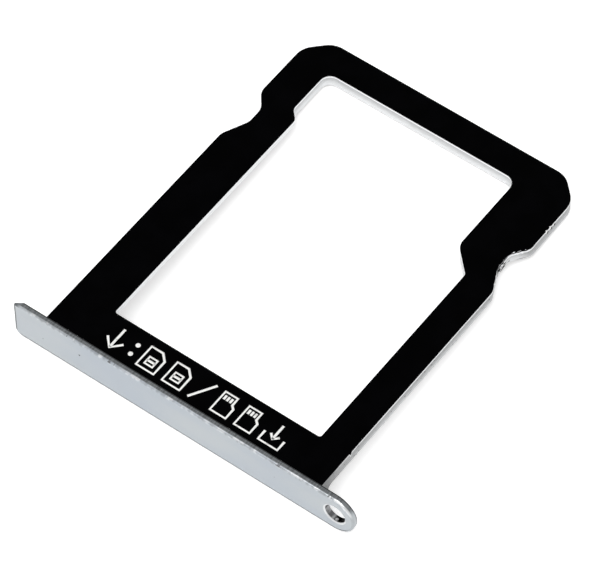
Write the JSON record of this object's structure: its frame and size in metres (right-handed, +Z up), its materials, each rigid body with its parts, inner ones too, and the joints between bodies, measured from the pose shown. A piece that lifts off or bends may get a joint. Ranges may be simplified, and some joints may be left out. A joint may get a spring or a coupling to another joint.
{
  "type": "memory card tray",
  "caption": "Slide-in phone tray: thin black frame with a keyed opening for a memory card, bonded behind a slim silver bezel with an eject-pin hole.",
  "frame": {"origin": "under the middle of the whole tray, at the height of the bezel's lower edge", "axes": "+Y from the bezel to the tip of the frame, the way the tray is pushed in; +X along the bezel to its round end with the eject hole; +Z up, out of the frame's coated top face"},
  "size_m": [0.0174, 0.0188, 0.0021],
  "materials": {
    "coated_metal": "matt black coat, cut walls left bright",
    "bezel_metal": "satin, with a brighter broken edge"
  },
  "bodies": {
    "root": {"tray_frame": "coated_metal", "bezel": "bezel_metal"}
  },
  "joints": []
}
